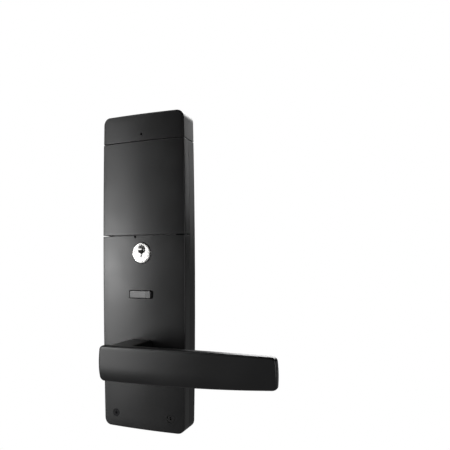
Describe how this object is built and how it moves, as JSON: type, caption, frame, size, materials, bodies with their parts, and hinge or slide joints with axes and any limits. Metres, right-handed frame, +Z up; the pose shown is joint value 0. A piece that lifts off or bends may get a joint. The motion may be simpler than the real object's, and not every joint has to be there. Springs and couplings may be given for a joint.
{
  "type": "keypad smart lock inside unit",
  "caption": "Tall matt black door escutcheon for a keypad smart lock, room side: battery cover, key cylinder, privacy snib and a straight lever handle.",
  "frame": {"origin": "on the door face, on the vertical centre line of the escutcheon, at half its height", "axes": "+Z up, +Y into the door, +X to the right of someone who faces the unit in the room"},
  "size_m": [0.164, 0.105, 0.264],
  "materials": {
    "black_cast": "fine matt black powder coat on a casting",
    "black_plastic": "matt black, very finely textured",
    "dark_plastic": "dark grey moulding, unpainted",
    "satin_chrome": "satin chrome plate",
    "zinc_steel": "bright zinc plated steel",
    "spring_steel": "drawn spring wire and strip",
    "black_steel": "black oxide steel",
    "nylon": "natural nylon",
    "nickel": "nickel plated spring steel",
    "board_green": "green solder mask",
    "cell_wrap": "printed shrink sleeve, plain",
    "lead_red": "soft insulation",
    "lead_black": "soft insulation"
  },
  "bodies": {
    "escutcheon": {"battery_1": "cell_wrap", "battery_2": "cell_wrap", "battery_3": "cell_wrap", "battery_4": "cell_wrap", "battery_lead_negative": "lead_black", "battery_lead_positive": "lead_red", "battery_tray": "dark_plastic", "board_screw_left": "zinc_steel", "board_screw_right": "zinc_steel", "buzzer": "dark_plastic", "cap_screw_left": "zinc_steel", "cap_screw_right": "zinc_steel", "contact_bottom_left": "nickel", "contact_bottom_right": "nickel", "contact_spring_1": "nickel", "contact_spring_2": "nickel", "contact_spring_3": "nickel", "contact_spring_4": "nickel", "contact_top_left": "nickel", "contact_top_middle": "nickel", "contact_top_right": "nickel", "control_board": "board_green", "cover_screw_left": "black_steel", "cover_screw_right": "black_steel", "cylinder_body": "satin_chrome", "harness_socket": "nylon", "housing": "black_plastic", "lever_bush": "nylon", "lower_cover": "black_cast", "mounting_bolt_lower": "zinc_steel", "mounting_bolt_upper": "zinc_steel", "mounting_plate": "zinc_steel", "return_spring": "spring_steel", "snib_leaf_spring": "spring_steel", "snib_pin": "spring_steel", "snib_switch": "dark_plastic", "spring_cup": "dark_plastic", "spring_cup_screw_left": "zinc_steel", "spring_cup_screw_right": "zinc_steel", "top_cap": "black_plastic"},
    "lever": {"lever_handle": "black_cast", "lever_grub_screw": "black_steel", "spindle": "zinc_steel", "circlip": "spring_steel", "hub_disc": "zinc_steel"},
    "battery_cover": {"battery_cover": "black_plastic"},
    "cylinder_plug": {"cylinder_plug": "satin_chrome", "cylinder_cam": "zinc_steel"},
    "snib_rocker": {"snib_rocker": "black_plastic"}
  },
  "joints": [
    {"name": "lever_turn", "type": "hinge", "parent": "escutcheon", "child": "lever", "pos_m": [0, 0, -0.0695], "axis": [0, 1, 0], "range_deg": [0, 45], "stiffness_Nm_per_rad": 0.6, "springref_deg": -34.38},
    {"name": "battery_cover_tilt", "type": "hinge", "parent": "escutcheon", "child": "battery_cover", "pos_m": [0, -0.02025, 0.1087], "axis": [-1, 0, 0], "range_deg": [0, 25]},
    {"name": "cylinder_plug_turn", "type": "hinge", "parent": "escutcheon", "child": "cylinder_plug", "pos_m": [0, 0, 0.0155], "axis": [0, 1, 0], "continuous": true},
    {"name": "snib_rock", "type": "hinge", "parent": "escutcheon", "child": "snib_rocker", "pos_m": [-0.001, -0.019, -0.019], "axis": [0, 0, 1], "range_deg": [0, 12]}
  ]
}
